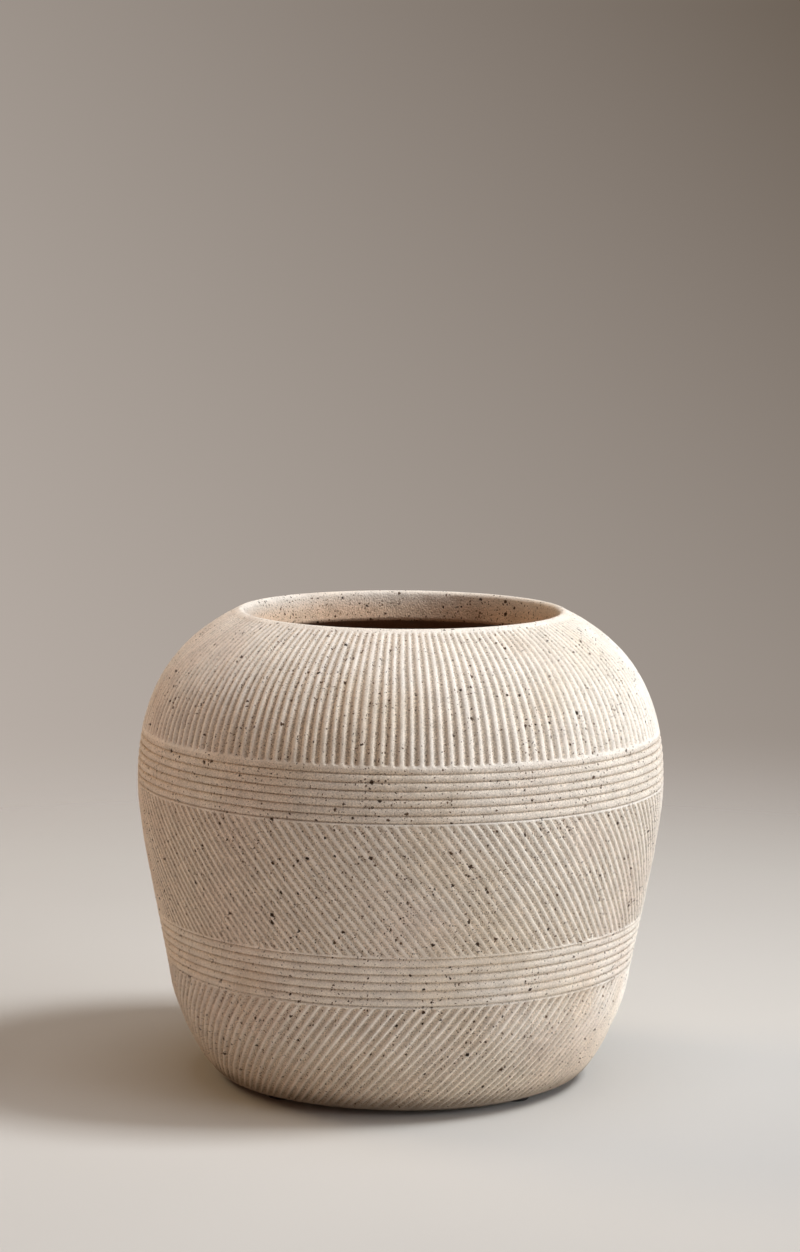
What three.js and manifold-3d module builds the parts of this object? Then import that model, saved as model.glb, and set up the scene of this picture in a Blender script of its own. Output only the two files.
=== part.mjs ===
// Combed stoneware planter: a thick-walled round pot with comb-cut ornament, a drain hole with a soft
// stopper and a mesh screen, and four pads under its foot ring.
// Millimetres, +Z up. The origin is on the ground, under the middle of the pot.

import * as THREE from 'three';
import { mergeGeometries, mergeVertices } from 'three/addons/utils/BufferGeometryUtils.js';
import Module from 'manifold-3d';

const wasm = await Module();
wasm.setup();

// Outline of the pot, with heights above the ground
const rimHeight = 223.1;
const mouthRadius = 74.4;
const rimSlope = THREE.MathUtils.degToRad(63.7);
const bellyRadius = 125.2;
const bellyHeight = 143.4;
const heelRadius = 109.3;
const heelHeight = 44.8;
const heelSlope = THREE.MathUtils.degToRad(9.5);
const baseRadius = 86;
const baseSlope = THREE.MathUtils.degToRad(76);

// How far each stretch of the outline keeps to the direction it has at its ends
const baseReach = 9;
const heelReachDown = 9.5;
const heelReachUp = 31.7;
const bellyReachDown = 24;
const bellyReachUp = 46.7;
const rimReach = 28.2;

// Walls, rim and foot
const wallThickness = 11;
const lipThickness = 15;
const lipTaper = 45;
const lipSlope = THREE.MathUtils.degToRad(10);
const rimEdgeRadius = 2.5;
const throatEdgeRadius = 2;
const floorThickness = 10;
const footRecessRadius = 66;
const footRecessDepth = 6;

// Combed ornament, from the base up
const lowerCombBottom = 6;
const lowerCombTop = 56.7;
const lowerCombCount = 140;
const lowerGroovePitch = 3.8;
const lowerRidgeCount = 6;
const middleCombCount = 172;
const combSlant = THREE.MathUtils.degToRad(37);
const combDepth = 0.9;
const combEndShare = 0.3;
const combEndLength = 1.2;
const upperBandDrop = 0.9;
const upperGroovePitch = 3.65;
const upperRidgeCount = 6;
const topRidgeHeight = 2.5;
const grooveDepth = 0.8;
const fluteCount = 172;
const fluteDepth = 1.2;
const fluteMargin = 1.5;

// Drain hole, stopper and screen
const drainRadius = 10;
const plugClearance = 0.3;
const plugTaper = 0.8;
const plugRecess = 1;
const plugFlangeRadius = 15;
const plugFlangeThickness = 2.5;
const plugGripRadius = 7.5;
const plugGripWaist = 5.5;
const plugGripHeight = 4;
const screenRadius = 23;
const screenThickness = 1.5;
const screenRim = 2.4;
const screenHole = 3.4;
const screenBar = 1.6;

// Pads
const padCount = 4;
const padRadius = 7;
const padThickness = 2.5;
const padEdge = 0.6;

// Facets
const plainSides = 48;
const innerSides = 40;
const innerSteps = 8;
const roundSides = 24;
const edgeSteps = 2;
const lowerCombSteps = 3;
const middleCombSteps = 3;
const fluteSteps = 4;
const heelCrowding = 1.5;
const heightHalvings = 40;

// Finishes of the solids: colour and roughness
const clay = { color: 0xd9ccba, roughness: 0.9 };
const silicone = { color: 0x4a443e, roughness: 0.6 };
const mouldedPlastic = { color: 0x3b3f3c, roughness: 0.55 };
const rubber = { color: 0x2b2724, roughness: 0.8 };

// Heights that follow from the sizes above
const underside = padThickness;
const recessCeiling = underside + footRecessDepth;
const floorTop = recessCeiling + floorThickness;
const lowerBandTop = lowerCombTop + lowerRidgeCount * lowerGroovePitch;
const upperBandBottom = bellyHeight - upperBandDrop;
const topRidgeBottom = upperBandBottom + upperRidgeCount * upperGroovePitch;

// Direction in the half-section (radius, height) that leans inwards from the vertical by an angle
function leaning(angle) {
  return new THREE.Vector2(-Math.sin(angle), Math.cos(angle));
}

// Directions at the rim: the outer face runs up to it, and the steep face of the lip runs down from it
const rimWay = leaning(rimSlope);
const rimNormal = new THREE.Vector2(rimWay.y, -rimWay.x);
const lipWay = leaning(-lipSlope).negate();
const lipNormal = new THREE.Vector2(lipWay.y, -lipWay.x);

// Middle of the rounded rim, and where the outer face ends and the rounding begins
const rimCentre = new THREE.Vector2(mouthRadius - rimEdgeRadius * lipNormal.x, rimHeight - rimEdgeRadius);
const rimStart = rimCentre.clone().addScaledVector(rimNormal, rimEdgeRadius);

// One stretch of the outline between two points, leaving and arriving along given directions
function stretch(start, startWay, startReach, end, endWay, endReach) {
  const startHandle = start.clone().addScaledVector(startWay, startReach);
  const endHandle = end.clone().addScaledVector(endWay, -endReach);
  return new THREE.CubicBezierCurve(start, startHandle, endHandle, end);
}

// Outer half-section of the pot, from the edge of the base up to the rim
function outerOutline() {
  const base = new THREE.Vector2(baseRadius, underside);
  const heel = new THREE.Vector2(heelRadius, heelHeight);
  const belly = new THREE.Vector2(bellyRadius, bellyHeight);
  const heelWay = leaning(-heelSlope);
  const upright = leaning(0);
  const path = new THREE.CurvePath();
  path.add(stretch(base, leaning(-baseSlope), baseReach, heel, heelWay, heelReachDown));
  path.add(stretch(heel, heelWay, heelReachUp, belly, upright, bellyReachDown));
  path.add(stretch(belly, upright, bellyReachUp, rimStart, rimWay, rimReach));
  return path;
}

const outline = outerOutline();
const outlineLength = outline.getLength();

// Point of the half-section that lies a depth below the outer face, at a place from 0, base, to 1, rim
function below(place, depth) {
  const way = outline.getTangent(place);
  const point = outline.getPoint(place);
  return new THREE.Vector2(point.x - way.y * depth, point.y + way.x * depth);
}

// Wall thickness at a place, growing towards the lip
function wallAt(place) {
  const toRim = (1 - place) * outlineLength;
  const share = THREE.MathUtils.smoothstep(toRim, 0, lipTaper);
  return THREE.MathUtils.lerp(lipThickness, wallThickness, share);
}

const outside = (place) => below(place, 0);
const inside = (place) => below(place, wallAt(place));

// Place where a face of the wall reaches a height
function placeAtHeight(face, height) {
  let low = 0;
  let high = 1;
  for (let halving = 0; halving < heightHalvings; halving += 1) {
    const middle = (low + high) / 2;
    if (face(middle).y < height) low = middle;
    else high = middle;
  }
  return (low + high) / 2;
}

// Ring of points round the axis, from the half-section point of each of its corners
function ring(count, turn, cornerAt) {
  return Array.from({ length: count }, (_, corner) => {
    const section = cornerAt(corner);
    const angle = turn + (corner / count) * 2 * Math.PI;
    return new THREE.Vector3(section.x * Math.cos(angle), section.x * Math.sin(angle), section.y);
  });
}

function plainRing(sides, section) {
  return ring(sides, 0, () => section);
}

// Comb cuts between two heights, as rings with a crest and a valley for each cut.
// A slant turns the cuts round the pot on the way up. Crowding over 1 sets the rings closer at the bottom.
function combedRings({ bottom, top, count, depth, slant, steps, bottomShare, crowding }) {
  const from = placeAtHeight(outside, bottom);
  const to = placeAtHeight(outside, top);
  let turn = 0;
  let last = from;
  return Array.from({ length: steps + 1 }, (_, index) => {
    const place = THREE.MathUtils.lerp(from, to, (index / steps) ** crowding);
    const radius = outside((last + place) / 2).x;
    turn += (Math.tan(slant) * (place - last) * outlineLength) / radius;
    last = place;
    const crest = outside(place);
    const valley = below(place, index > 0 ? depth : depth * bottomShare);
    return ring(2 * count, turn, (corner) => (corner % 2 ? valley : crest));
  });
}

// Band of level ridges with a groove below and above each one
function bandRings(bottom, pitch, ridges) {
  return Array.from({ length: 2 * ridges + 1 }, (_, edge) => {
    const place = placeAtHeight(outside, bottom + (edge / 2) * pitch);
    return plainRing(plainSides, below(place, edge % 2 ? 0 : grooveDepth));
  });
}

// Rounded edge that faces from one direction round to the next, as points of the half-section
function roundEdge(centre, firstWay, lastWay, radius) {
  const start = firstWay.angle();
  const sweep = THREE.MathUtils.euclideanModulo(lastWay.angle() - start, 2 * Math.PI);
  return Array.from({ length: edgeSteps + 1 }, (_, step) => {
    const angle = start + (step / edgeSteps) * sweep;
    return new THREE.Vector2(centre.x + radius * Math.cos(angle), centre.y + radius * Math.sin(angle));
  });
}

// Rounded rim and the steep face of the lip, down to its rounded lower edge
function rimRings() {
  const inwards = rimNormal.clone().negate();
  const faceStart = rimCentre.clone().addScaledVector(lipNormal, rimEdgeRadius - throatEdgeRadius);
  const depth = faceStart.clone().sub(rimStart).dot(inwards);
  const drop = (lipThickness - throatEdgeRadius - depth) / lipWay.dot(inwards);
  const throatCentre = faceStart.addScaledVector(lipWay, drop);
  return [
    ...roundEdge(rimCentre, rimNormal, lipNormal, rimEdgeRadius),
    ...roundEdge(throatCentre, lipNormal, inwards, throatEdgeRadius),
  ].map((section) => plainRing(plainSides, section));
}

// Inner face of the wall, from the lip down to the floor
function insideRings() {
  const floorEdge = placeAtHeight(inside, floorTop);
  return Array.from({ length: innerSteps }, (_, step) => {
    const place = THREE.MathUtils.lerp(1, floorEdge, (step + 1) / innerSteps);
    return plainRing(innerSides, inside(place));
  });
}

// Drain hole and the recess under the floor
function drainRings() {
  return [floorTop, recessCeiling].map((height) =>
    plainRing(roundSides, new THREE.Vector2(drainRadius, height)),
  );
}

function recessRings() {
  return [recessCeiling, underside].map((height) =>
    plainRing(innerSides, new THREE.Vector2(footRecessRadius, height)),
  );
}

// Triangles between two rings with the same number of corners, matched one to one
function matchedStrip(near, far) {
  const count = near.points.length;
  return near.points.flatMap((point, corner) => {
    const next = (corner + 1) % count;
    const [a, b] = [near.start + corner, near.start + next];
    const [c, d] = [far.start + corner, far.start + next];
    const across = near.points[next].distanceTo(far.points[corner]);
    const other = point.distanceTo(far.points[next]);
    return across < other ? [a, b, c, b, d, c] : [a, b, d, a, d, c];
  });
}

// Corner of a ring that points most nearly the same way from the axis as a point does
function cornerTowards(points, target) {
  const sameWay = points.map(({ x, y }) => (x * target.x + y * target.y) / Math.hypot(x, y));
  return sameWay.indexOf(Math.max(...sameWay));
}

// Triangles between two rings with different numbers of corners, taken in turn by their angles
function zippedStrip(near, far) {
  const [nearCount, farCount] = [near.points.length, far.points.length];
  const shift = cornerTowards(far.points, near.points[0]);
  const nearAt = (step) => near.start + (step % nearCount);
  const farAt = (step) => far.start + ((step + shift) % farCount);
  const triangles = [];
  let [a, b] = [0, 0];
  while (a < nearCount || b < farCount) {
    if ((a + 0.5) / nearCount <= (b + 0.5) / farCount) {
      triangles.push(nearAt(a), nearAt(a + 1), farAt(b));
      a += 1;
    } else {
      triangles.push(nearAt(a), farAt(b + 1), farAt(b));
      b += 1;
    }
  }
  return triangles;
}

// Closed skin over groups of rings that follow one another round the wall and back to the first
function skin(groups) {
  const positions = [];
  const rings = groups.flatMap((group) => group.map((points, index) => {
    const start = positions.length / 3;
    points.forEach((point) => positions.push(point.x, point.y, point.z));
    return { points, start, matched: index + 1 < group.length };
  }));
  const triangles = rings.flatMap((near, index) => {
    const far = rings[(index + 1) % rings.length];
    return near.matched ? matchedStrip(near, far) : zippedStrip(near, far);
  });
  const geometry = new THREE.BufferGeometry();
  geometry.setAttribute('position', new THREE.Float32BufferAttribute(positions, 3));
  geometry.setIndex(triangles);
  geometry.computeVertexNormals();
  return geometry;
}

// The fired pot: combed outside, rim, inside, drain hole and foot
function potBody() {
  return skin([
    [plainRing(plainSides, outside(0))],
    combedRings({
      bottom: lowerCombBottom,
      top: lowerCombTop - combEndLength,
      count: lowerCombCount,
      depth: combDepth,
      slant: combSlant,
      steps: lowerCombSteps,
      bottomShare: combEndShare,
      crowding: heelCrowding,
    }),
    bandRings(lowerCombTop, lowerGroovePitch, lowerRidgeCount),
    combedRings({
      bottom: lowerBandTop + combEndLength,
      top: upperBandBottom - combEndLength,
      count: middleCombCount,
      depth: combDepth,
      slant: -combSlant,
      steps: middleCombSteps,
      bottomShare: 1,
      crowding: 1,
    }),
    [
      ...bandRings(upperBandBottom, upperGroovePitch, upperRidgeCount),
      plainRing(plainSides, outside(placeAtHeight(outside, topRidgeBottom + topRidgeHeight / 2))),
    ],
    combedRings({
      bottom: topRidgeBottom + topRidgeHeight,
      top: rimStart.y - fluteMargin,
      count: fluteCount,
      depth: fluteDepth,
      slant: 0,
      steps: fluteSteps,
      bottomShare: 1,
      crowding: 1,
    }),
    rimRings(),
    insideRings(),
    drainRings(),
    recessRings(),
  ]);
}

// Soft stopper: a tapered stem in the drain hole, a flange under the floor and a grip below it
function drainPlug() {
  const stemRadius = drainRadius - plugClearance;
  const stemTop = floorTop - plugRecess;
  const flangeBottom = recessCeiling - plugFlangeThickness;
  const gripBottom = flangeBottom - plugGripHeight;
  const section = [
    new THREE.Vector2(0, gripBottom),
    new THREE.Vector2(plugGripRadius, gripBottom),
    new THREE.Vector2(plugGripRadius, gripBottom + plugGripHeight / 2),
    new THREE.Vector2(plugGripWaist, flangeBottom),
    new THREE.Vector2(plugFlangeRadius, flangeBottom),
    new THREE.Vector2(plugFlangeRadius, recessCeiling),
    new THREE.Vector2(stemRadius, recessCeiling),
    new THREE.Vector2(stemRadius - plugTaper, stemTop),
    new THREE.Vector2(0, stemTop),
  ];
  return new THREE.LatheGeometry(section, roundSides);
}

// Closed geometry as a solid that can be cut
function solidOf(geometry) {
  const bare = geometry.clone();
  bare.deleteAttribute('normal');
  bare.deleteAttribute('uv');
  const merged = mergeVertices(bare);
  return new wasm.Manifold(new wasm.Mesh({
    numProp: 3,
    vertProperties: merged.getAttribute('position').array,
    triVerts: new Uint32Array(merged.index.array),
  }));
}

// Solid back as geometry
function geometryOf(solid) {
  const mesh = solid.getMesh();
  const geometry = new THREE.BufferGeometry();
  geometry.setAttribute('position', new THREE.BufferAttribute(mesh.vertProperties, mesh.numProp));
  geometry.setIndex(new THREE.BufferAttribute(mesh.triVerts, 1));
  geometry.computeVertexNormals();
  return geometry;
}

// Mesh disc that lies on the floor over the drain hole, with square holes inside a plain rim
function drainScreen() {
  const disc = new THREE.CylinderGeometry(screenRadius, screenRadius, screenThickness, roundSides);
  const pitch = screenHole + screenBar;
  const reach = Math.ceil(screenRadius / pitch);
  const holes = [];
  for (let column = -reach; column <= reach; column += 1) {
    for (let row = -reach; row <= reach; row += 1) {
      const [x, y] = [column * pitch, row * pitch];
      const corner = Math.hypot(Math.abs(x) + screenHole / 2, Math.abs(y) + screenHole / 2);
      const hole = new THREE.BoxGeometry(screenHole, screenHole, 2 * screenThickness);
      if (corner < screenRadius - screenRim) holes.push(hole.translate(x, y, 0));
    }
  }
  return geometryOf(solidOf(turned(disc)).subtract(solidOf(mergeGeometries(holes))));
}

// Round pad with a small bevel on its lower edge
function footPad() {
  const section = [
    new THREE.Vector2(0, 0),
    new THREE.Vector2(padRadius - padEdge, 0),
    new THREE.Vector2(padRadius, padEdge),
    new THREE.Vector2(padRadius, padThickness),
    new THREE.Vector2(0, padThickness),
  ];
  return new THREE.LatheGeometry(section, roundSides);
}

// Named mesh with its own finish; flat shading shows its edges as they are cut
function piece(name, geometry, finish) {
  const material = new THREE.MeshStandardMaterial({ ...finish, metalness: 0, flatShading: true });
  const mesh = new THREE.Mesh(geometry, material);
  mesh.name = name;
  return mesh;
}

// Lathes turn about Y, so a turned piece is stood up along Z
function turned(geometry) {
  return geometry.rotateX(Math.PI / 2);
}

const planter = new THREE.Group();
planter.add(piece('pot_body', potBody(), clay));
planter.add(piece('drain_plug', turned(drainPlug()), silicone));

const screen = piece('drain_screen', drainScreen(), mouldedPlastic);
screen.position.z = floorTop + screenThickness / 2;
planter.add(screen);

const padCircle = (footRecessRadius + baseRadius) / 2;
for (let pad = 0; pad < padCount; pad += 1) {
  const angle = ((pad + 0.5) / padCount) * 2 * Math.PI;
  const mesh = piece(`foot_pad_${pad + 1}`, turned(footPad()), rubber);
  mesh.position.set(padCircle * Math.cos(angle), padCircle * Math.sin(angle), 0);
  planter.add(mesh);
}

export default planter;
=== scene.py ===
"""Looks of a combed stoneware planter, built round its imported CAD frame.

The pot, its drain plug, drain screen and foot pads are rebuilt as fine meshes with procedural finishes,
in the frame of the CAD model. Sizes are in millimetres and become metres when a mesh is made. Lengths in
the finishes and the studio are in metres, apart from those of the specks and the lining.
"""

import logging
import math
from dataclasses import dataclass, field
from enum import Enum

import bmesh
import bpy
import numpy as np
from mathutils import Matrix, Vector
from mathutils.geometry import delaunay_2d_cdt


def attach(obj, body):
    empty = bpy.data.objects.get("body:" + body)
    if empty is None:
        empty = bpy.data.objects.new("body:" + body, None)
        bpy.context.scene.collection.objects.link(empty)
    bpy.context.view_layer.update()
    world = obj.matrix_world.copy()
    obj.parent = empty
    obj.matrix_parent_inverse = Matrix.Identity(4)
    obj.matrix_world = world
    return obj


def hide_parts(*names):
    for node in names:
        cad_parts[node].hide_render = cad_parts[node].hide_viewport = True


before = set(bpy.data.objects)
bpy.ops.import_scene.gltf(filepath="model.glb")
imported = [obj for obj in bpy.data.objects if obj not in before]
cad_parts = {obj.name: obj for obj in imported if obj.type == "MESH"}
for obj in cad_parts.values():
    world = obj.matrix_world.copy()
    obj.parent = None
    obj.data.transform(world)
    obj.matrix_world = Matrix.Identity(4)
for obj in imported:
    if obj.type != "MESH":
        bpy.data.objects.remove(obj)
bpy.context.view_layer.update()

LOG = logging.getLogger("planter")
MM = 0.001
TURN = 2.0 * math.pi
BAKE_MAP = "OFBake"
# Lining values far above and far below the lining's edge
UNLINED = -50.0
LINED = 50.0
# Marks that most of a finish's noise lies between
NOISE_LOW = 0.3
NOISE_HIGH = 0.7

Colour = tuple[float, float, float]
Section = tuple[float, float]
Socket = bpy.types.NodeSocket
Value = bpy.types.NodeSocket | float
Paint = bpy.types.NodeSocket | Colour


class Body(str, Enum):
    """CAD bodies that the pieces ride on."""

    POT = "pot"
    PLUG = "plug"
    SCREEN = "screen"


class Slot(str, Enum):
    """Material slots of the record."""

    CLAY = "clay"
    PLUG = "plug"
    SCREEN = "screen"
    PAD = "pad"


class Face(Enum):
    """Sides of the pot that are laid out apart on its bake map."""

    OUTER = 0
    INNER = 1


class Layer(str, Enum):
    """Values that the pot's mesh carries for its finish."""

    RELIEF = "relief"
    LINING = "lining"


class Easing(str, Enum):
    """Ways from one mark to the next."""

    SMOOTH = "SMOOTHSTEP"
    EVEN = "LINEAR"


def linear(red: int, green: int, blue: int) -> Colour:
    """Turns a display colour into the linear one that shaders take.

    Args:
        red: Red of the display colour, 0 to 255.
        green: Green of the display colour.
        blue: Blue of the display colour.

    Returns:
        The linear colour, each part from 0 to 1.
    """
    shares = np.array([red, green, blue]) / 255.0
    light = np.where(shares <= 0.04045, shares / 12.92, ((shares + 0.055) / 1.055) ** 2.4)
    return tuple(float(part) for part in light)


def smooth(value: np.ndarray, low: float, high: float) -> np.ndarray:
    """Eases a value from 0 at a low mark to 1 at a high mark.

    Args:
        value: Values to ease.
        low: Where the result leaves 0.
        high: Where the result reaches 1.

    Returns:
        The eased values.
    """
    share = np.clip((value - low) / (high - low), 0.0, 1.0)
    return share * share * (3.0 - 2.0 * share)


def even_turns(rows: int, columns: int) -> np.ndarray:
    """Gives the angles of rings whose points are evenly spaced, one row for each ring."""
    return np.broadcast_to(np.arange(columns) / columns * TURN, (rows, columns))


def joined_rings(index: np.ndarray) -> np.ndarray:
    """Joins rings of points, column by column.

    Args:
        index: Index of each point, one row for each ring.

    Returns:
        Triangles as rows of three indices.
    """
    following = np.roll(index, -1, axis=1)
    a, b, c, d = index[:-1], following[:-1], following[1:], index[1:]
    return np.vstack([np.stack(corners, axis=-1).reshape(-1, 3) for corners in ((a, b, c), (a, c, d))])


def mesh_of(name: str, points: np.ndarray, triangles: np.ndarray) -> bpy.types.Mesh:
    """Makes a smooth mesh from points and triangles.

    Args:
        name: Name of the mesh.
        points: Points in metres.
        triangles: Rows of three indices.

    Returns:
        The mesh.
    """
    mesh = bpy.data.meshes.new(name)
    mesh.vertices.add(len(points))
    mesh.vertices.foreach_set("co", points.astype(np.float32).ravel())
    mesh.loops.add(triangles.size)
    mesh.loops.foreach_set("vertex_index", triangles.astype(np.int32).ravel())
    mesh.polygons.add(len(triangles))
    mesh.polygons.foreach_set("loop_start", np.arange(0, triangles.size, 3, dtype=np.int32))
    mesh.update(calc_edges=True)
    mesh.shade_smooth()
    return mesh


def settle(
    mesh: bpy.types.Mesh, material: bpy.types.Material, body: Body, node: str,
) -> bpy.types.Object:
    """Dresses a mesh and puts it into the scene in place of a CAD node.

    Args:
        mesh: Mesh of the piece, with the piece's name.
        material: Material of the piece.
        body: Body that it rides on.
        node: CAD node that it stands for.

    Returns:
        The piece.
    """
    mesh.materials.append(material)
    piece = bpy.data.objects.new(mesh.name, mesh)
    bpy.context.scene.collection.objects.link(piece)
    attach(piece, body.value)
    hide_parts(node)
    return piece


class SurfaceNoise:
    """Seeded smooth noise over a round face, the same again after a full turn."""

    FEWEST_COLUMNS = 4

    def __init__(self, seed: int, cell: float, girth: float, length: float) -> None:
        """Draws the noise's grid.

        Args:
            seed: Seed of the draw.
            cell: Size of one cell.
            girth: Way round the face.
            length: Way along the face.
        """
        draw = np.random.default_rng(seed)
        self.cell = cell
        self.columns = max(self.FEWEST_COLUMNS, round(girth / cell))
        self.rows = math.ceil(length / cell) + 2
        self.values = draw.uniform(-1.0, 1.0, (self.rows, self.columns))

    def at(self, along: np.ndarray, turn: np.ndarray) -> np.ndarray:
        """Reads the noise.

        Args:
            along: Places along the face.
            turn: Angles round the face.

        Returns:
            Noise from -1 to 1.
        """
        across = np.mod(turn / TURN, 1.0) * self.columns
        up = np.clip(along / self.cell, 0.0, self.rows - 1.001)
        column = np.floor(across).astype(int)
        row = np.floor(up).astype(int)
        side = smooth(across - column, 0.0, 1.0)
        rise = smooth(up - row, 0.0, 1.0)
        column = column % self.columns
        following = (column + 1) % self.columns
        low = self.values[row, column] * (1.0 - side) + self.values[row, following] * side
        high = self.values[row + 1, column] * (1.0 - side) + self.values[row + 1, following] * side
        return low * (1.0 - rise) + high * rise


class Outline:
    """Outer half-section of the pot, measured along its length from the base to the rim."""

    SAMPLES = 1200

    def __init__(self, stretches: list[tuple[Section, Section, Section, Section]]) -> None:
        """Samples the outline.

        Args:
            stretches: Bezier stretches, each with its end points and the two handles between them.
        """
        share = np.linspace(0.0, 1.0, self.SAMPLES)[:, None]
        weights = ((1 - share) ** 3, 3 * share * (1 - share) ** 2, 3 * share**2 * (1 - share), share**3)
        runs = [sum(w * np.array(p) for w, p in zip(weights, stretch)) for stretch in stretches]
        points = np.vstack([runs[0]] + [run[1:] for run in runs[1:]])
        self.radii, self.heights = points.T
        steps = np.hypot(np.diff(self.radii), np.diff(self.heights))
        self.places = np.concatenate([[0.0], np.cumsum(steps)])
        self.length = float(self.places[-1])
        way = np.gradient(points, self.places, axis=0)
        self.ways = way / np.linalg.norm(way, axis=1)[:, None]

    def place_at(self, height: float) -> float:
        """Finds the place on the outline at a height."""
        return float(np.interp(height, self.heights, self.places))

    def radius_at(self, place: np.ndarray) -> np.ndarray:
        """Gives the outline's radius at places along it."""
        return np.interp(place, self.places, self.radii)

    def below(self, place: np.ndarray, depth: np.ndarray) -> tuple[np.ndarray, np.ndarray]:
        """Finds points below the outer face.

        Args:
            place: Places along the outline.
            depth: Depths below the face.

        Returns:
            The radii and heights of the points.
        """
        inward = np.interp(place, self.places, self.ways[:, 1])
        upward = np.interp(place, self.places, self.ways[:, 0])
        radius = self.radius_at(place) - inward * depth
        height = np.interp(place, self.places, self.heights) + upward * depth
        return radius, height


@dataclass
class RingGrid:
    """Rings of points round the axis, one row for each ring, that follow one another along a face."""

    turn: np.ndarray
    radius: np.ndarray
    height: np.ndarray
    along: np.ndarray
    relief: np.ndarray
    lining: np.ndarray
    face: Face

    @classmethod
    def level(cls, columns: int, sections: list[Section], face: Face, start: float) -> "RingGrid":
        """Makes plain round rings.

        Args:
            columns: Points in each ring.
            sections: Radius and height of each ring.
            face: Side of the pot that the rings are on.
            start: Way along the face at the first ring.

        Returns:
            The rings.
        """
        points = np.array(sections)
        steps = np.hypot(*np.diff(points, axis=0).T)
        along = start + np.concatenate([[0.0], np.cumsum(steps)])
        turn = even_turns(len(points), columns).copy()
        spread = [np.broadcast_to(column[:, None], turn.shape).copy() for column in (*points.T, along)]
        return cls(turn, *spread, np.zeros(turn.shape), np.full(turn.shape, UNLINED), face)

    def points(self) -> np.ndarray:
        """Gives the rings' points in metres, ring after ring."""
        stack = (self.radius * np.cos(self.turn), self.radius * np.sin(self.turn), self.height)
        return np.stack(stack, axis=-1).reshape(-1, 3) * MM


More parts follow.
